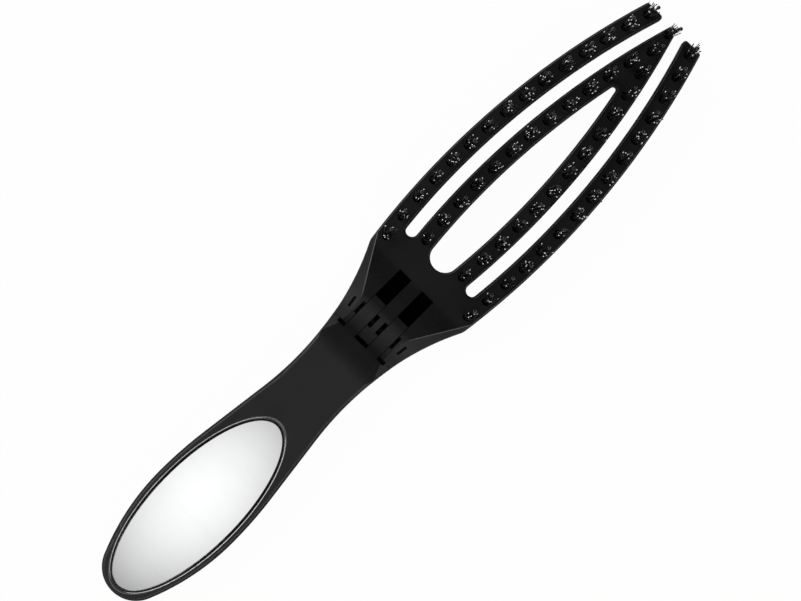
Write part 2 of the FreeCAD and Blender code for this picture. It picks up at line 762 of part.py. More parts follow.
def round_end_top(centre, radius, towards_tip):
    """Where a round end of the middle vent runs smoothly into the vent's side."""
    drop = edge_radius(CENTRE_EDGE, towards_tip).value - size("centre_vent_half_width")
    return polar(centre, radius, math.atan2(drop, centre[0] - size("crest_distance")))


def side_vent(body):
    """The vent between an inner and an outer arm, round at its neck end and open at the tip."""
    sketch = Sketch(body, "side_vent_outline", height=FRONT)
    start = amount("side_vent_start")
    end = amount("head_reach") + amount("tip_thickness")
    low = long_edge(sketch, VENT_INNER_EDGE, end, start)
    high = long_edge(sketch, VENT_OUTER_EDGE, start, end)
    low_start, low_end = (edge_half_width(VENT_INNER_EDGE, x).value for x in (start, end))
    high_start, high_end = (edge_half_width(VENT_OUTER_EDGE, x).value for x in (start, end))
    cap_centre = (start.value, (low_start + high_start) / 2)
    cap = sketch.arc(cap_centre, (start.value, low_start), (start.value, high_start), clockwise=True)
    mouth = sketch.line((end.value, high_end), (end.value, low_end))
    sketch.join(low[1], cap, tangent=True)
    sketch.join(cap, high[0], tangent=True)
    sketch.join(high[1], mouth)
    sketch.join(mouth, low[0])
    sketch.at(cap[0], 3, x=start.text)
    sketch.constrain("Vertical", mouth[0])
    sketch.at(mouth[0], 1, x=end.text)
    cut(body, "side_vent", sketch)


def back_sweep(body):
    """The hollow under the head: its back rises from the neck to the thin arms in a smooth double bend."""
    sketch = Sketch(body, "sweep_outline", "XZ_Plane")
    start = size("neck_back_reach")
    radius = size("sweep_radius")
    arm_back = size("body_thickness") - size("arm_thickness")
    tip_back = size("body_thickness") - size("tip_thickness")
    far = size("head_reach") + size("tip_thickness")
    rise_centre = (start - size("sweep_lead"), math.sqrt(radius ** 2 - size("sweep_lead") ** 2))
    drop = rise_centre[1] - (arm_back - radius)
    fall_centre = (rise_centre[0] + math.sqrt(4 * radius ** 2 - drop ** 2), arm_back - radius)
    turn = ((rise_centre[0] + fall_centre[0]) / 2, (rise_centre[1] + fall_centre[1]) / 2)
    rise = sketch.arc(rise_centre, (start, 0), turn)
    fall = sketch.arc(fall_centre, turn, (fall_centre[0], arm_back), clockwise=True)
    back = sketch.line((fall_centre[0], arm_back), (far, tip_back))
    end = sketch.line((far, tip_back), (far, 0))
    base = sketch.line((far, 0), (start, 0))
    sketch.join(rise, fall, tangent=True)
    sketch.join(fall, back, tangent=True)
    sketch.join(back, end)
    sketch.join(end, base)
    sketch.join(base, rise)
    sketch.constrain("Vertical", end[0])
    sketch.on_axis(base[0], 1)
    sketch.on_axis(base[0], 2)
    sketch.at(base[0], 2, x=cell("neck_back_reach"))
    sketch.at(rise[0], 3, x=cell("neck_back_reach") + " - " + cell("sweep_lead"))
    sketch.radius(rise[0], cell("sweep_radius"))
    sketch.radius(fall[0], cell("sweep_radius"))
    sketch.at(fall[0], fall[2], y=FRONT + " - " + cell("arm_thickness"))
    sketch.at(back[0], 2, cell("head_reach") + " + " + cell("tip_thickness"),
              FRONT + " - " + cell("tip_thickness"))
    cut(body, "sweep", sketch)


def tail_relief(body):
    """The step in the tail, above the seam of the handle, that widens the gap behind the hinge."""
    sketch = Sketch(body, "relief_outline", height=FRONT)
    tail = size("tail_reach")
    gap = size("tail_gap_half_width")
    sketch.rectangle((-tail, -gap), (size("tail_relief") - tail, gap), cell("tail_reach"),
                     cell("tail_reach") + " - " + cell("tail_relief"), cell("tail_gap_half_width"),
                     cell("tail_gap_half_width"))
    cut(body, "tail_relief", sketch, FRONT + " - " + cell("seam_height"))


def finger_slot(body):
    """The slot that a hinge finger turns in. In front of the finger it stays open as a dark pocket."""
    sketch = Sketch(body, "slot_outline", height=FRONT)
    clearance = size("finger_side_clearance")
    inner = size("finger_inner") - clearance
    outer = size("finger_inner") + size("finger_width") + clearance
    sketch.rectangle((-size("tail_reach") - size("tail_gap"), inner), (size("slot_reach"), outer), FRAME_END,
                     cell("slot_reach"), cell("finger_inner") + " - " + cell("finger_side_clearance"),
                     FINGER_OUTER + " + " + cell("finger_side_clearance"))
    cut(body, "finger_slot", sketch, FRONT + " - " + cell("slot_floor"))


def pin_windows(body):
    """Openings over the pin, on both sides of the finger, where the moulding tool shaped the bore."""
    sketch = Sketch(body, "window_outlines", height=FRONT)
    half = size("window_half_length")
    tongue_width = size("window_width")
    ear_width = size("ear_window_width")
    clearance = size("finger_side_clearance")
    inner = size("finger_inner") - clearance
    outer = size("finger_inner") + size("finger_width") + clearance
    half_size = cell("window_half_length")
    inner_size = cell("finger_inner") + " - " + cell("finger_side_clearance")
    outer_size = FINGER_OUTER + " + " + cell("finger_side_clearance")
    sketch.rectangle((-half, inner - tongue_width), (half, inner), half_size, half_size,
                     inner_size + " - " + cell("window_width"), inner_size)
    sketch.rectangle((-half, outer), (half, outer + ear_width), half_size, half_size,
                     outer_size, outer_size + " + " + cell("ear_window_width"))
    cut(body, "pin_windows", sketch, cell("pin_depth"))


def ear_slit(body):
    """The narrow slit in the facet beside the end of the pin, which runs along the crease."""
    sketch = Sketch(body, "slit_outline", height=FRONT)
    middle = (-size("ear_slit_distance"), size("ear_slit_half_width"))
    length = size("ear_slit_length")
    width = size("ear_slit_width")
    turn = math.radians(size("ear_slit_angle"))
    near = polar(polar(middle, -length / 2, turn), -width / 2, turn + math.pi / 2)
    far = polar(near, length, turn)
    corners = [near, far, polar(far, width, turn + math.pi / 2), polar(near, width, turn + math.pi / 2)]
    sides = [sketch.line(corners[index], corners[(index + 1) % 4]) for index in range(4)]
    for index, side in enumerate(sides):
        sketch.join(side, sides[(index + 1) % 4])
    sketch.constrain("Perpendicular", sides[0][0], sides[1][0])
    sketch.constrain("Parallel", sides[0][0], sides[2][0])
    sketch.constrain("Parallel", sides[1][0], sides[3][0])
    sketch.drive(cell("ear_slit_angle") + " * 1 deg", "Angle", sides[0][0], turn)
    sketch.drive(cell("ear_slit_length"), "Distance", sides[0][0], length)
    sketch.drive(cell("ear_slit_width"), "Distance", sides[1][0], width)
    point = sketch.object.addGeometry(Part.Point(FreeCAD.Vector(*middle, 0)), True)
    sketch.at(point, 1, cell("ear_slit_distance"), cell("ear_slit_half_width"))
    sketch.constrain("Symmetric", sides[0][0], 1, sides[2][0], 1, point, 1)
    cut(body, "ear_slit", sketch, cell("ear_slit_depth"))


def tuft_station(index):
    return amount("first_tuft_distance") + amount("tuft_pitch").times(index)


def tuft_rows():
    """Places of the tufts on the left half of the head: along the outer arm, the inner arm and the tip."""
    rows = {"outer": [], "inner": [], "tip": []}
    last = size("head_reach") - size("tuft_end_margin")
    count = int((last - size("first_tuft_distance")) / size("tuft_pitch") + LEVEL) + 1
    for index in range(count):
        x = tuft_station(index)
        rows["outer"].append((x, arm_middle(OUTER_ARM, x)))
        if x.value < size("centre_vent_start"):
            continue
        y = arm_middle(INNER_ARM, x)
        if y.value > size("tuft_hole_radius") + size("tuft_flare") + size("tuft_web") / 2:
            rows["inner"].append((x, y))
        else:
            rows["tip"].append((x, None))
    return rows


def arm_middle(arm, x):
    outer, inner = (edge_half_width(edge, x) for edge in arm)
    return (outer + inner).times(0.5)


def tuft_holes(body):
    sketch = Sketch(body, "tuft_circles", height=FRONT)
    for row in tuft_rows().values():
        for x, y in row:
            centre = (x.value, y.value if y else 0)
            circle = sketch.circle(centre, size("tuft_hole_radius"), cell("tuft_hole_radius"))
            sketch.at(circle, 3, x=x.text)
            if y:
                sketch.at(circle, 3, y=y.text)
            else:
                sketch.on_axis(circle, 3)
    cut(body, "tuft_holes", sketch, cell("tuft_hole_depth"))


def make_head_frame(doc):
    body = new_body(doc, "head_frame")
    front = size("body_thickness")
    reach = size("head_reach")
    shoulder = size("shoulder_distance")
    pad(body, "plate", head_outline(body), FRONT)
    finish_edges(body, "Fillet", "shoulder", "shoulder_round",
                 lambda box, middle: box.ZLength > LEVEL and abs(middle.x - shoulder) < LEVEL)
    side_vent(body)
    centre_vent(body)
    finish_edges(body, "Fillet", "arm_ends", "arm_end_round",
                 lambda box, middle: box.XMin > reach - LEVEL and box.ZLength > LEVEL
                 and middle.y > size("side_vent_inner_tip") + LEVEL)
    back_sweep(body)
    finish_edges(body, "Fillet", "arm_edges", "arm_front_round",
                 lambda box, middle: level_at(box, front) and off_middle(box) and middle.x > shoulder)
    finish_edges(body, "Fillet", "arm_backs", "arm_back_round",
                 lambda box, middle: box.ZMax < front - size("tip_thickness") + LEVEL and off_middle(box)
                 and box.XLength > LEVEL)
    facet_cut(body)
    finish_edges(body, "Fillet", "crease", "crease_round",
                 lambda box, middle: level_at(box, front) and off_middle(box) and middle.x < shoulder
                 and box.XLength > LEVEL)
    saddle_cut(body)
    tail_relief(body)
    finger_slot(body)
    pin_windows(body)
    ear_slit(body)
    pin_bore(body, "pin_press_clearance")
    tuft_holes(body)
    mirror_halves(body)
    return body


def primitive(doc, kind, name, **expressions):
    part = doc.addObject("Part::" + kind, name)
    for setting, expression in expressions.items():
        part.setExpression(setting.replace("_", "."), expression)
    return part


def boolean(doc, kind, name, base, tool):
    part = doc.addObject("Part::" + kind, name)
    part.Base = base
    part.Tool = tool
    return part


def tuft_patterns(doc):
    """One bundle of boar bristle with a bore for its pin, one ball-tipped nylon pin and one metal anchor."""
    root = primitive(doc, "Cylinder", "bundle_root", Radius=TUFT_RADIUS,
                     Height=FRONT + " - (" + ANCHOR_TOP + ")", Placement_Base_z=ANCHOR_TOP)
    brush = primitive(doc, "Cone", "bundle_brush", Radius1=TUFT_RADIUS,
                      Radius2=TUFT_RADIUS + " + " + cell("tuft_flare"), Height=cell("boar_height"),
                      Placement_Base_z=FRONT)
    bore = primitive(doc, "Cylinder", "bundle_bore",
                     Radius=cell("nylon_radius") + " + " + cell("nylon_clearance"),
                     Height=FRONT + " + " + cell("boar_height"), Placement_Base_z=ANCHOR_TOP)
    bundle = boolean(doc, "Cut", "bundle", boolean(doc, "Fuse", "bundle_solid", root, brush), bore)
    ball_height = FRONT + " + " + cell("nylon_height") + " - " + cell("nylon_ball_radius")
    shank = primitive(doc, "Cylinder", "pin_shank", Radius=cell("nylon_radius"),
                      Height=ball_height + " - (" + ANCHOR_TOP + ")", Placement_Base_z=ANCHOR_TOP)
    ball = primitive(doc, "Sphere", "pin_ball", Radius=cell("nylon_ball_radius"),
                     Placement_Base_z=ball_height)
    nylon = boolean(doc, "Fuse", "nylon_pin", shank, ball)
    half_length = "(" + cell("tuft_hole_radius") + " - " + cell("anchor_end_clearance") + ")"
    anchor = primitive(doc, "Box", "anchor", Length=cell("anchor_thickness"), Width="2 * " + half_length,
                       Height=cell("anchor_height"), Placement_Base_x="-" + cell("anchor_thickness") + " / 2",
                       Placement_Base_y="-" + half_length, Placement_Base_z=HOLE_FLOOR)
    doc.recompute()
    return {"boar_tufts": bundle, "nylon_pins": nylon, "tuft_anchors": anchor}


def make_tufts(doc):
    """The tufts of each row, as groups of separate solids."""
    rows = tuft_rows()
    places = {"tip": [(x.value, 0) for x, y in rows["tip"]]}
    for side, sign in (("left", 1), ("right", -1)):
        for row in ("outer", "inner"):
            places[side + "_" + row] = [(x.value, sign * y.value) for x, y in rows[row]]
    parts = []
    for kind, pattern in tuft_patterns(doc).items():
        for row, centres in places.items():
            part = doc.addObject("Part::Feature", kind + "_" + row)
            part.Label = kind + "_" + row
            copies = [pattern.Shape.translated(FreeCAD.Vector(x, y, 0)) for x, y in centres]
            part.Shape = Part.makeCompound(copies)
            part.setExpression("Placement.Base.x", MIDDLE_SHIFT)
            parts.append(part)
    doc.recompute()
    return parts


def check(doc, parts):
    for item in doc.Objects:
        if "Invalid" in item.State or "Error" in item.State:
            raise RuntimeError(item.Name + " failed: " + ", ".join(item.State))
    for part in parts:
        if part.Shape.isNull() or not part.Shape.isValid() or not part.Shape.Solids:
            raise RuntimeError(part.Label + " has no valid shape")


def main():
    doc = FreeCAD.newDocument("folding_hair_brush")
    make_sheet(doc)
    makers = (make_handle_front_frame, make_handle_back_cover, make_mirror, make_mirror_tape,
              make_hinge_pin, make_head_frame)
    parts = [make(doc) for make in makers] + make_tufts(doc)
    doc.recompute()
    check(doc, parts)
    os.makedirs("parts", exist_ok=True)
    for part in parts:
        part.Shape.exportStep("parts/" + part.Label + ".step")
        print("%-26s %3d solids %10.2f mm3" % (part.Label, len(part.Shape.Solids), part.Shape.Volume))


main()
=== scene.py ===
import math

import bpy
import numpy as np
from mathutils import Euler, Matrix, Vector


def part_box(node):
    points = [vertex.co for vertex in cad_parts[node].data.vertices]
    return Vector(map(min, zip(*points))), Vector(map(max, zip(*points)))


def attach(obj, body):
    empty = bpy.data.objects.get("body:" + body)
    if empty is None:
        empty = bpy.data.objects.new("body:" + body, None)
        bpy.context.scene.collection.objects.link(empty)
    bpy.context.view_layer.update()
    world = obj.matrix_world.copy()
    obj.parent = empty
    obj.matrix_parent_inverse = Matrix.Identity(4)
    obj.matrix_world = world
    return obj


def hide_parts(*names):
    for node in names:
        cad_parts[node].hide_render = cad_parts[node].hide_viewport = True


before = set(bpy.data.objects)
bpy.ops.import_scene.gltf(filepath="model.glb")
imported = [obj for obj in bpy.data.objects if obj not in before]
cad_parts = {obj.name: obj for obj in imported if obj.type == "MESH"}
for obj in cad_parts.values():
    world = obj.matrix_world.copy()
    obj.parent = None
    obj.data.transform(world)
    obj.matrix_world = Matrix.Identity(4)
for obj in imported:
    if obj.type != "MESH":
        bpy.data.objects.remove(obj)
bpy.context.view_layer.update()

# The looks of a black folding vent brush: moulded shells, a mirror, a hinge pin and tufts of real bristles.
# Sizes are in millimetres until they reach Blender, which works in metres.
MM = 0.001

# Camera, straight above the bristle side with the brush across the picture at 45 degrees
LOOK_AT = Vector((3.1, 0.34, 10.0)) * MM
CAMERA_DISTANCE = 480.0 * MM
CAMERA_TURN = math.radians(-45.0)
PICTURE_WIDTH = 209.1 * MM
SENSOR_WIDTH = 36.0

# Hinge, measured from the pin
PIN_LOW, PIN_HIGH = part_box("hinge_pin")
PIN = (PIN_LOW + PIN_HIGH) / 2
POCKET_REACH = 14.7 * MM
POCKET_HALF_WIDTH = 6.3 * MM
POCKET_DEPTH = 7.2 * MM

# Steepness at which the surface starts to be matt and is matt: by the facets of the hinge, and away from them
FACETS_END = 15.0 * MM
FLANKS_START = 20.0 * MM
FACET_STEEPNESS = (0.3, 0.7)
FLANK_STEEPNESS = (0.03, 0.25)

# Plastic
GRAIN_SIZE = 0.16 * MM
GRAIN_DEPTH = 0.006 * MM
FLOW_SIZE = 9.0 * MM
FLOW_STRETCH = 0.35
HANDLED_SIZE = 22.0 * MM
MOULD_ROUGHNESS = 0.33
MATT_ROUGHNESS = 0.95
ROUGHER_BY_SATIN = 0.1
ROUGHER_BY_GRAIN = 0.12
ROUGHER_BY_FLOW = 0.06
SMOOTHER_BY_HAND = 0.05
SMOOTHER_AT_LIP = 0.2

# Steps of the satin along the brush, from the handle to the head, which also paint shade and highlight into
# the colour by the hinge: start and end in millimetres, and change
SATIN_AND_PAINTED_SHADE_STEPS = (
    (-16.0, -8.0, -0.8),
    (-8.0, -5.0, -0.65),
    (-4.0, -0.5, 0.85),
    (1.2, 3.5, -0.45),
    (7.0, 10.0, -0.25),
    (13.0, 15.5, 0.5),
)

# Shade on the floor below the seam of the hinge
SHADE_DISTANCE = -5.7 * MM
SHADE_HALF_LENGTH = 3.5 * MM
SHADE_HALF_WIDTH = 8.5 * MM

# Lip of the recess round the mirror
LIP_GAP = 0.68 * MM
LIP_SHARE = 0.02

# Bristle tufts: leans and spreads are sideways shares of the height
ROWS = ("left_outer", "left_inner", "right_inner", "right_outer", "tip")
TUFT_GAP = 1.0 * MM
ROOT_DEPTH = 2.0 * MM
ROOT_SPREAD = 0.95 * MM
GOLDEN_TURN = math.pi * (3.0 - math.sqrt(5.0))
LEAN_TO_TIP = 0.105
LEAN_TO_RIGHT = 0.04
TIP_PIN_LEAN_TO_RIGHT = 0.18

# Boar bristles, with the closer tufts of the tip in second place
BOAR_COUNT = 26
BOAR_THICKNESS = 0.105 * MM
BOAR_BEND = 0.35 * MM
BOAR_HEIGHT_LOSS = 0.14
BOAR_SPLAY = 0.065
BOAR_STRAY = (0.07, 0.02)
BOAR_TUFT_LEAN = (0.045, 0.0)
BOAR_SPREAD = (ROOT_SPREAD, ROOT_SPREAD * 0.85)
BOAR_SEED = 11

# Nylon bristles with a ball at the tip
NYLON_THICKNESS = 0.2 * MM
NYLON_BEND = 0.2 * MM
NYLON_BALL = 0.55 * MM
NYLON_SPLAY = 0.07
NYLON_STRAY = 0.05
NYLON_SPREAD = ROOT_SPREAD * 0.4
NYLON_SEED = 31

# One bristle
BRISTLE_SIDES = 5
BRISTLE_STEPS = 5
BEND_STARTS = 0.55
TIP_OPENS_BY = 0.4
TIP_OPENS_LATE = 12.0

# Stage
FLOOR_SIZE = 8.0
FLOOR_DROP = 0.05 * MM
WHITE_SHARE = 0.975
WALL_GLOW = 0.36
CEILING_LOSS = 0.32
LAMP_DISTANCE = 0.9


class Term:
    """A value in a node tree. Arithmetic on terms adds Math nodes to their tree."""

    def __init__(self, graph, socket):
        self.graph = graph
        self.socket = socket

    def output(self, name):
        """Another output of the node that this value comes from."""
        return Term(self.graph, self.socket.node.outputs[name])

    def __add__(self, other):
        return self.graph.math("ADD", self, other)

    def __radd__(self, other):
        return self.graph.math("ADD", other, self)

    def __sub__(self, other):
        return self.graph.math("SUBTRACT", self, other)

    def __rsub__(self, other):
        return self.graph.math("SUBTRACT", other, self)

    def __mul__(self, other):
        return self.graph.math("MULTIPLY", self, other)

    def __rmul__(self, other):
        return self.graph.math("MULTIPLY", other, self)

    def __truediv__(self, other):
        return self.graph.math("DIVIDE", self, other)

    def __pow__(self, other):
        return self.graph.math("POWER", self, other)


class Graph:
    """A node tree that is written as expressions."""

    def __init__(self, tree):
        self.tree = tree

    def node(self, kind, settings=None, sockets=None, output=0):
        """Add a node: its settings first, then a value or a link for each socket. Gives one output."""
        made = self.tree.nodes.new(kind)
        for name, value in (settings or {}).items():
            setattr(made, name, value)
        for name, value in (sockets or {}).items():
            if isinstance(value, Term):
                self.tree.links.new(value.socket, made.inputs[name])
            else:
                made.inputs[name].default_value = value
        return Term(self, made.outputs[output]) if made.outputs else None

    def math(self, operation, *values):
        return self.node("ShaderNodeMath", {"operation": operation}, dict(enumerate(values)))

    def vector(self, x, y, z):
        return self.node("ShaderNodeCombineXYZ", sockets={"X": x, "Y": y, "Z": z})

    def smooth_step(self, value, low, high):
        """0 below one value and 1 above another, with a smooth rise between them."""
        return self.node("ShaderNodeMapRange", {"interpolation_type": "SMOOTHSTEP"},
                         {"Value": value, "From Min": low, "From Max": high})


class Finish(Graph):
    """A material's node tree, with patterns in the part's own coordinates."""

    def __init__(self, name):
        self.material = bpy.data.materials.new(name)
        self.material.use_nodes = True
        super().__init__(self.material.node_tree)
        self.tree.nodes.clear()

    def place(self):
        return self.node("ShaderNodeTexCoord", output="Object")

    def from_point(self, point):
        """The three coordinates of a place, measured from a point."""
        moved = self.node("ShaderNodeVectorMath", {"operation": "SUBTRACT"},
                          {0: self.place(), 1: tuple(point)})
        x = self.node("ShaderNodeSeparateXYZ", sockets={"Vector": moved}, output="X")
        return x, x.output("Y"), x.output("Z")

    def stretched_place(self, x, y, z):
        return self.node("ShaderNodeMapping", sockets={"Vector": self.place(), "Scale": (x, y, z)})

    def noise(self, place, feature, detail=2.0, roughness=0.5):
        """Noise from 0 to 1 whose features have about the given size."""
        return self.node("ShaderNodeTexNoise", sockets={
            "Vector": place, "Scale": 1.0 / feature, "Detail": detail, "Roughness": roughness})

    def mix(self, share, first, second):
        """A colour between two colours."""
        return self.node("ShaderNodeMix", {"data_type": "RGBA"}, {0: share, 6: first, 7: second}, output=2)

    def bump(self, height, depth):
        return self.node("ShaderNodeBump", sockets={"Height": height, "Distance": depth, "Strength": 1.0})

    def attribute(self, name):
        return self.node("ShaderNodeAttribute", {"attribute_name": name}, output="Fac")

    def steepness(self):
        """0 on the level front and back of a piece, rising to 1 on its upright walls."""
        normal = self.node("ShaderNodeTexCoord", output="Normal")
        up = self.node("ShaderNodeSeparateXYZ", sockets={"Vector": normal}, output="Z")
        return 1.0 - self.math("ABSOLUTE", up)

    def principled(self, **sockets):
        """Finish the material with a Principled shader. Socket names are given with underscores."""
        named = {name.replace("_", " "): value for name, value in sockets.items()}
        shader = self.node("ShaderNodeBsdfPrincipled", sockets=named)
        self.node("ShaderNodeOutputMaterial", sockets={"Surface": shader})
        return self.material


def grey(level, warmth=0.0):
    """A neutral colour, a little warmer or cooler on request."""
    return (level * (1.0 + warmth), level, level * (1.0 - warmth), 1.0)


def moulded_plastic(finish, lip=0.0):
    """Black moulded plastic with tool grain and flow marks, duller where it is satin, matt in the pockets,
    with painted shade and painted highlight in its colour by the hinge.
    """
    place = finish.place()
    satin_and_painted_shade = satin_steps_with_painted_shade(finish)
    grain = finish.noise(place, GRAIN_SIZE, detail=3.0)
    flow = finish.noise(finish.stretched_place(FLOW_STRETCH, 1.0, 1.0), FLOW_SIZE, detail=3.0)
    handled = finish.smooth_step(finish.noise(place, HANDLED_SIZE, detail=4.0), 0.42, 0.7)
    # Painted shade and painted highlight: the colour follows the satin steps by the hinge, with flow marks
    # mixed in.
    colour = finish.mix(satin_and_painted_shade * 0.75 + flow * 0.25, grey(0.002), grey(0.01))
    worn = MOULD_ROUGHNESS + satin_and_painted_shade * ROUGHER_BY_SATIN
    worn = worn + (grain - 0.5) * ROUGHER_BY_GRAIN + (flow - 0.5) * ROUGHER_BY_FLOW
    worn = worn - handled * SMOOTHER_BY_HAND - lip * SMOOTHER_AT_LIP
    matt = finish.math("MAXIMUM", inside_pocket(finish), matt_side(finish))
    rough = worn + (MATT_ROUGHNESS - worn) * matt
    return finish.principled(Base_Color=colour, Roughness=rough, Coat_Weight=lip, Coat_Roughness=0.1,
                             Coat_IOR=2.6, Normal=finish.bump(grain, GRAIN_DEPTH))


def satin_steps_with_painted_shade(finish):
    """1 on the satin handle, changing in steps near the hinge, where the steps paint shade and highlight into
    the colour and change the roughness.
    """
    x = finish.from_point(PIN)[0]
    share = 1.0
    for start, end, change in SATIN_AND_PAINTED_SHADE_STEPS:
        share = share + finish.smooth_step(x, start * MM, end * MM) * change
    return share


def matt_side(finish):
    """1 on the walls and the round edges, but on the walls alone near the hinge, where the facets shine."""
    x = finish.from_point(PIN)[0]
    away = finish.smooth_step(finish.math("ABSOLUTE", x), FACETS_END, FLANKS_START)
    starts, full = (near - away * (near - far) for near, far in zip(FACET_STEEPNESS, FLANK_STEEPNESS))
    return finish.smooth_step(finish.steepness(), starts, full)


def inside_pocket(finish):
    """1 in the pockets and gaps of the hinge, below the axis of its pin, and 0 on the back and elsewhere."""
    x, y, z = finish.from_point(PIN)
    near = finish.math("LESS_THAN", finish.math("ABSOLUTE", x), POCKET_REACH)
    between = finish.math("LESS_THAN", finish.math("ABSOLUTE", y), POCKET_HALF_WIDTH)
    below = finish.math("LESS_THAN", z, 0.0) * finish.math("GREATER_THAN", z, -POCKET_DEPTH)
    return near * between * below


def handle_plastic():
    """The handle's plastic, satin up to the hinge, with painted shade and highlight near the hinge and a
    polished lip round the mirror.
    """
    finish = Finish("handle_plastic_satin")
    low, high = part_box("mirror")
    half = (high - low) / 2
    along, across = finish.from_point((low + high) / 2)[:2]
    oval = (along / (half.x + LIP_GAP)) ** 2.0 + (across / (half.y + LIP_GAP)) ** 2.0
    off_lip = finish.math("ABSOLUTE", oval ** 0.5 - 1.0)
    lip = 1.0 - finish.smooth_step(off_lip, LIP_SHARE * 0.8, LIP_SHARE)
    return moulded_plastic(finish, lip)


def head_plastic():
    # The satin steps paint shade and highlight into this colour by the hinge.
    return moulded_plastic(Finish("head_plastic_satin"))


def mirror_glass():
    """Silvered glass with a faint haze of wiping."""
    finish = Finish("mirror_glass")
    wiped = finish.noise(finish.stretched_place(1.0, 0.25, 1.0), 4.0 * MM, detail=4.0)
    haze = finish.smooth_step(wiped, 0.5, 0.8)
    colour = finish.mix(haze, grey(0.95, -0.004), grey(0.92, -0.004))
    return finish.principled(Base_Color=colour, Metallic=1.0, Roughness=0.015 + haze * 0.02)


def foam_tape():
    finish = Finish("foam_tape")
    cells = finish.noise(finish.place(), 0.25 * MM, detail=2.0)
    colour = finish.mix(cells, grey(0.03), grey(0.06))
    return finish.principled(Base_Color=colour, Roughness=0.9, Normal=finish.bump(cells, 0.05 * MM))


def drawn_steel(name, level, roughness):
    """Steel with the fine rings that drawing and rolling leave round its axis."""
    finish = Finish(name)
    rings = finish.noise(finish.stretched_place(0.05, 1.0, 0.05), 0.12 * MM, detail=3.0)
    spots = finish.noise(finish.place(), 1.5 * MM, detail=3.0)
    colour = finish.mix(spots, grey(level * 0.75), grey(level * 1.25))
    rough = roughness + (rings - 0.5) * 0.15
    return finish.principled(Base_Color=colour, Metallic=1.0, Roughness=rough,
                             Normal=finish.bump(rings, 0.004 * MM))


def boar_bristle():
    """Dark natural bristle, brown where it is thin, with near-white tips on some bristles: partly pale split
    ends, partly a painted highlight in place of glints.
    """
    finish = Finish("boar_bristle")
    along = finish.attribute("along")
    tone = finish.attribute("tone")
    shaft = finish.mix(tone, grey(0.004, 0.1), grey(0.011, 0.2))
    # Near-white tips on some bristles: pale split ends, and a painted highlight that stands for glints.
    split_end_and_painted_glint = finish.smooth_step(along, 0.9, 0.95) * finish.smooth_step(tone, 0.64, 0.78)
    colour = finish.mix(split_end_and_painted_glint, shaft, grey(0.9, 0.01))
    return finish.principled(Base_Color=colour, Roughness=0.5 + tone * 0.12, Specular_IOR_Level=0.3)


def nylon_bristle():
    """Black nylon, polished at the balls that end it."""
    finish = Finish("nylon_bristle")
    along = finish.attribute("along")
    tone = finish.attribute("tone")
    colour = finish.mix(tone, grey(0.01), grey(0.02))
    rough = 0.3 - finish.smooth_step(along, 0.9, 1.0) * 0.16
    return finish.principled(Base_Color=colour, Roughness=rough)


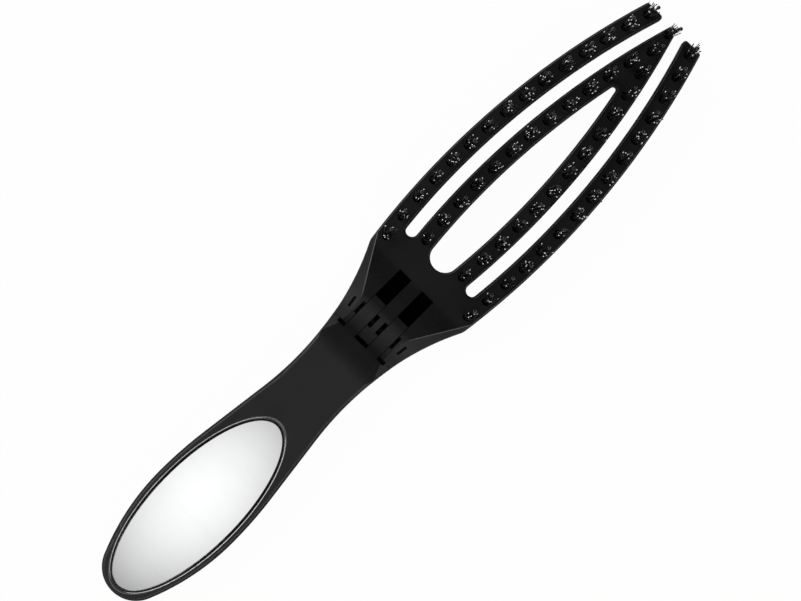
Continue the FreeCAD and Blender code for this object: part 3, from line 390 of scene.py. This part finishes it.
class BristleTree(Graph):
    """Geometry nodes that grow one tuft of bristles from each root point."""

    def __init__(self, name, with_ball):
        super().__init__(bpy.data.node_groups.new(name, "GeometryNodeTree"))
        self.identifiers = {}
        self.entry = self.tree.nodes.new("NodeGroupInput")
        roots = self.input("Roots", "Geometry")
        count = self.input("Bristles", "Int")
        spread = self.input("Spread", "Float")
        height = self.input("Height", "Float")
        loss = self.input("Height Loss", "Float")
        splay = self.input("Splay", "Float")
        stray = self.input("Stray", "Float")
        lean = self.input("Lean", "Float")
        side_lean = self.input("Side Lean", "Float")
        tuft_lean = self.input("Tuft Lean", "Float")
        thickness = self.input("Thickness", "Float")
        bend = self.input("Bend", "Float")
        ball = self.input("Ball", "Float")
        self.seed = self.input("Seed", "Int")
        material = self.input("Material", "Material")

        copies = self.node("GeometryNodeDuplicateElements", {"domain": "POINT"},
                           {"Geometry": roots, "Amount": count})
        order = copies.output("Duplicate Index")
        tuft = self.math("FLOOR", self.node("GeometryNodeInputIndex") / count)
        reach = ((order + self.random(0.1, 0.9, 1)) / count) ** 0.5
        turn = order * GOLDEN_TURN + self.random(0.0, 0.7, 2)
        out_x = reach * self.math("COSINE", turn)
        out_y = reach * self.math("SINE", turn)
        points = self.node("GeometryNodeSetPosition", sockets={
            "Geometry": copies, "Offset": self.vector(out_x * spread, out_y * spread, 0.0)})
        tuft_x = self.random(-1.0, 1.0, 8, tuft) * tuft_lean
        tuft_y = self.random(-1.0, 1.0, 9, tuft) * tuft_lean
        aim_x = lean + tuft_x + self.random(-1.0, 1.0, 3) ** 3.0 * stray
        aim_y = tuft_y + self.random(-1.0, 1.0, 4) ** 3.0 * stray - side_lean
        aim = self.vector(out_x * splay + aim_x, out_y * splay + aim_y, 1.0)
        spin = self.node("FunctionNodeEulerToRotation", sockets={
            "Euler": self.vector(0.0, 0.0, self.random(0.0, 2.0 * math.pi, 5))})
        rotation = self.node("FunctionNodeAlignRotationToVector", {"axis": "Z"},
                             {"Rotation": spin, "Vector": aim})
        stretch = 1.0 - loss * self.random(0.0, 1.0, 6) ** 2.0
        shape = self.bristle(height, thickness, bend)
        if with_ball:
            shape = self.node("GeometryNodeJoinGeometry", sockets={"Geometry": shape})
            self.add_ball(shape, height, bend, ball)
        placed = self.node("GeometryNodeInstanceOnPoints", sockets={
            "Points": points, "Instance": shape, "Rotation": rotation,
            "Scale": self.vector(1.0, 1.0, stretch)})
        toned = self.store("tone", "INSTANCE", placed, self.random(0.0, 1.0, 7))
        whole = self.node("GeometryNodeRealizeInstances", sockets={"Geometry": toned})
        smooth = self.node("GeometryNodeSetShadeSmooth", sockets={"Geometry": whole})
        coloured = self.node("GeometryNodeSetMaterial", sockets={"Geometry": smooth, "Material": material})
        self.tree.interface.new_socket("Tufts", in_out="OUTPUT", socket_type="NodeSocketGeometry")
        self.node("NodeGroupOutput", sockets={0: coloured})

    def input(self, name, kind):
        item = self.tree.interface.new_socket(name, in_out="INPUT", socket_type="NodeSocket" + kind)
        self.identifiers[name] = item.identifier
        return Term(self, self.entry.outputs[name])

    def random(self, low, high, salt, tuft=None):
        """A random value for each bristle, or one that all the bristles of a tuft share."""
        sockets = {2: low, 3: high, "Seed": self.seed + float(salt)}
        if tuft is not None:
            sockets["ID"] = tuft
        return self.node("FunctionNodeRandomValue", {"data_type": "FLOAT"}, sockets, output=1)

    def store(self, name, domain, geometry, value):
        return self.node("GeometryNodeStoreNamedAttribute", {"data_type": "FLOAT", "domain": domain},
                         {"Geometry": geometry, "Name": name, "Value": value})

    def bristle(self, height, thickness, bend):
        """One bristle: a slender tube that bends a little and opens at its tip, where bristle splits."""
        line = self.node("GeometryNodeCurveQuadraticBezier", sockets={
            "Resolution": BRISTLE_STEPS, "Start": (0.0, 0.0, 0.0),
            "Middle": self.vector(0.0, 0.0, height * BEND_STARTS), "End": self.vector(bend, 0.0, height)})
        along = self.node("GeometryNodeSplineParameter", output="Factor")
        line = self.store("along", "POINT", line, along)
        section = self.node("GeometryNodeCurvePrimitiveCircle", sockets={
            "Resolution": BRISTLE_SIDES, "Radius": thickness})
        opening = along ** TIP_OPENS_LATE * TIP_OPENS_BY + 1.0
        return self.node("GeometryNodeCurveToMesh", sockets={
            "Curve": line, "Profile Curve": section, "Scale": opening, "Fill Caps": True})

    def add_ball(self, join, height, bend, ball):
        """Join a round ball to the tip of the bristle."""
        sphere = self.node("GeometryNodeMeshUVSphere", sockets={"Segments": 8, "Rings": 5, "Radius": ball})
        raised = self.node("GeometryNodeTransform", sockets={
            "Geometry": sphere, "Translation": self.vector(bend, 0.0, height - ball)})
        tipped = self.store("along", "POINT", raised, 1.0)
        self.tree.links.new(tipped.socket, join.socket.node.inputs["Geometry"])

    def grow(self, name, roots, **values):
        """A plain mesh object of the tufts that grow from a list of root points."""
        mesh = bpy.data.meshes.new(name)
        mesh.from_pydata(roots, [], [])
        piece = bpy.data.objects.new(name, mesh)
        bpy.context.scene.collection.objects.link(piece)
        modifier = piece.modifiers.new("tufts", "NODES")
        modifier.node_group = self.tree
        for label, value in values.items():
            modifier[self.identifiers[label.replace("_", " ")]] = value
        grown = piece.evaluated_get(bpy.context.evaluated_depsgraph_get())
        piece_mesh = bpy.data.meshes.new_from_object(grown)
        piece.modifiers.remove(modifier)
        piece.data = piece_mesh
        return piece


def tuft_roots(node):
    """The middle of each tuft of a row, at the depth in its hole where the bristles start to spread."""
    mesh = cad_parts[node].data
    places = np.zeros(len(mesh.vertices) * 3)
    mesh.vertices.foreach_get("co", places)
    places = places.reshape(-1, 3)
    places = places[np.argsort(places[:, 0])]
    breaks = np.flatnonzero(np.diff(places[:, 0]) > TUFT_GAP) + 1
    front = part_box("head_frame")[1].z
    roots = []
    for tuft in np.split(places, breaks):
        middle = (tuft.min(axis=0) + tuft.max(axis=0)) / 2
        roots.append((middle[0], middle[1], front - ROOT_DEPTH))
    return roots


def grow_tufts():
    """Real bristles for each row of tufts, in place of the plain bundles and pins."""
    boar = BristleTree("boar_tuft", with_ball=False)
    nylon = BristleTree("nylon_tuft", with_ball=True)
    boar_finish = boar_bristle()
    nylon_finish = nylon_bristle()
    for seed, row in enumerate(ROWS):
        at_tip = int(row == "tip")
        bundle = "boar_tufts_" + row
        roots = tuft_roots(bundle)
        bristles = boar.grow(
            "boar_bristles_" + row, roots, Bristles=BOAR_COUNT, Spread=BOAR_SPREAD[at_tip],
            Height=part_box(bundle)[1].z - roots[0][2], Height_Loss=BOAR_HEIGHT_LOSS, Splay=BOAR_SPLAY,
            Stray=BOAR_STRAY[at_tip], Lean=LEAN_TO_TIP, Side_Lean=LEAN_TO_RIGHT,
            Tuft_Lean=BOAR_TUFT_LEAN[at_tip], Thickness=BOAR_THICKNESS, Bend=BOAR_BEND, Ball=0.0,
            Seed=BOAR_SEED + seed, Material=boar_finish)
        finish_row(bristles, bundle)
        pins = "nylon_pins_" + row
        ball_tipped = nylon.grow(
            "nylon_bristles_" + row, roots, Bristles=1, Spread=NYLON_SPREAD,
            Height=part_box(pins)[1].z - roots[0][2], Height_Loss=0.0, Splay=NYLON_SPLAY, Stray=NYLON_STRAY,
            Lean=LEAN_TO_TIP, Side_Lean=TIP_PIN_LEAN_TO_RIGHT if at_tip else LEAN_TO_RIGHT, Tuft_Lean=0.0,
            Thickness=NYLON_THICKNESS, Bend=NYLON_BEND, Ball=NYLON_BALL, Seed=NYLON_SEED + seed,
            Material=nylon_finish)
        finish_row(ball_tipped, pins)


def finish_row(piece, node):
    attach(piece, "head")
    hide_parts(node)


def dress_solids():
    """Give each solid that stays in view, or lies inside, its finish."""
    handle_finish = handle_plastic()
    anchor_finish = drawn_steel("anchor_wire_drawn", 0.6, 0.35)
    finishes = {
        "handle_front_frame": handle_finish,
        "handle_back_cover": handle_finish,
        "mirror": mirror_glass(),
        "mirror_tape": foam_tape(),
        "hinge_pin": drawn_steel("pin_steel_blackened", 0.008, 0.5),
        "head_frame": head_plastic(),
    }
    for row in ROWS:
        finishes["tuft_anchors_" + row] = anchor_finish
    for node, finish in finishes.items():
        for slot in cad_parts[node].material_slots:
            slot.material = finish


def seen_ray(graph):
    """1 for rays that show a surface, straight or by way of gloss or glass, and 0 for diffuse light."""
    path = graph.node("ShaderNodeLightPath", output="Is Camera Ray")
    seen = path + path.output("Is Glossy Ray") + path.output("Is Transmission Ray")
    return graph.math("MINIMUM", seen, 1.0)


def make_floor():
    """A pale floor that reads as white, keeps a soft trace of the shadow and stays dark under the hinge."""
    mesh = bpy.data.meshes.new("floor")
    corners = [(-1, -1), (1, -1), (1, 1), (-1, 1)]
    mesh.from_pydata([(FLOOR_SIZE * x, FLOOR_SIZE * y, -FLOOR_DROP) for x, y in corners], [], [(0, 1, 2, 3)])
    floor = bpy.data.objects.new("floor", mesh)
    bpy.context.scene.collection.objects.link(floor)
    finish = Finish("floor_paper")
    paper = finish.node("ShaderNodeBsdfDiffuse", sockets={"Color": grey(0.86)})
    white = finish.node("ShaderNodeEmission", sockets={"Color": grey(1.0), "Strength": 1.0})
    along, across = finish.from_point(PIN)[:2]
    off_seam = ((along - SHADE_DISTANCE) / SHADE_HALF_LENGTH) ** 2.0 + (across / SHADE_HALF_WIDTH) ** 2.0
    share = seen_ray(finish) * finish.smooth_step(off_seam, 0.8, 1.0) * WHITE_SHARE
    surface = finish.node("ShaderNodeMixShader", sockets={0: share, 1: paper, 2: white})
    finish.node("ShaderNodeOutputMaterial", sockets={"Surface": surface})
    mesh.materials.append(finish.material)


def make_overhead_card():
    """A white card over the handle, brightest in its middle, that the mirror reflects."""
    middle = Vector((-220.0, 4.0, 1000.0)) * MM
    far_end = -390.0 * MM
    near_end = 104.0 * MM
    side = 160.0 * MM
    mesh = bpy.data.meshes.new("overhead_card")
    corners = [(far_end, -side), (far_end, side), (near_end, side), (near_end, -side)]
    mesh.from_pydata([middle + Vector((x, y, 0.0)) for x, y in corners], [], [(0, 1, 2, 3)])
    card = bpy.data.objects.new("overhead_card", mesh)
    bpy.context.scene.collection.objects.link(card)
    finish = Finish("card_glow")
    x, y = finish.from_point(middle)[:2]
    far = (x / (122.0 * MM)) ** 2.0 + (y / (83.0 * MM)) ** 2.0
    glow = finish.math("MAXIMUM", 1.06 - far, 0.3)
    light = finish.node("ShaderNodeEmission", sockets={"Color": grey(1.0), "Strength": glow})
    finish.node("ShaderNodeOutputMaterial", sockets={"Surface": light})
    mesh.materials.append(finish.material)
    card.visible_camera = False


def make_lamp(name, azimuth, elevation, length, height, power):
    """A soft box that faces the brush, from a direction given in degrees."""
    data = bpy.data.lights.new(name, "AREA")
    data.shape = "RECTANGLE"
    data.size = length
    data.size_y = height
    data.energy = power
    lamp = bpy.data.objects.new(name, data)
    bpy.context.scene.collection.objects.link(lamp)
    turn = math.radians(azimuth)
    rise = math.radians(elevation)
    out = Vector((math.cos(turn) * math.cos(rise), math.sin(turn) * math.cos(rise), math.sin(rise)))
    lamp.location = out * LAMP_DISTANCE
    lamp.rotation_euler = out.to_track_quat("Z", "Y").to_euler()


def make_world():
    """A studio whose walls are pale and whose ceiling is dim."""
    world = bpy.data.worlds.new("studio")
    world.use_nodes = True
    bpy.context.scene.world = world
    graph = Graph(world.node_tree)
    graph.tree.nodes.clear()
    direction = graph.node("ShaderNodeTexCoord", output="Generated")
    rise = graph.node("ShaderNodeSeparateXYZ", sockets={"Vector": direction}, output="Z")
    level = WALL_GLOW - graph.smooth_step(rise, 0.0, 0.75) * CEILING_LOSS
    back = graph.node("ShaderNodeBackground", sockets={"Color": grey(1.0), "Strength": level})
    graph.node("ShaderNodeOutputWorld", sockets={"Surface": back})


def make_camera():
    data = bpy.data.cameras.new("camera")
    data.sensor_width = SENSOR_WIDTH
    data.lens = SENSOR_WIDTH * CAMERA_DISTANCE / PICTURE_WIDTH
    data.clip_start = 10.0 * MM
    data.clip_end = 50.0
    camera = bpy.data.objects.new("camera", data)
    bpy.context.scene.collection.objects.link(camera)
    camera.location = LOOK_AT + Vector((0.0, 0.0, CAMERA_DISTANCE))
    camera.rotation_euler = Euler((0.0, 0.0, CAMERA_TURN))
    bpy.context.scene.camera = camera


def light_stage():
    make_floor()
    make_overhead_card()
    make_world()
    make_lamp("key", azimuth=96.0, elevation=46.0, length=1.5, height=0.35, power=6.0)
    make_lamp("fill", azimuth=-96.0, elevation=46.0, length=1.5, height=0.35, power=4.2)
    make_lamp("end_light", azimuth=180.0, elevation=45.0, length=0.5, height=0.5, power=0.3)
    bpy.context.scene.view_settings.view_transform = "Standard"


make_camera()
light_stage()
dress_solids()
grow_tufts()
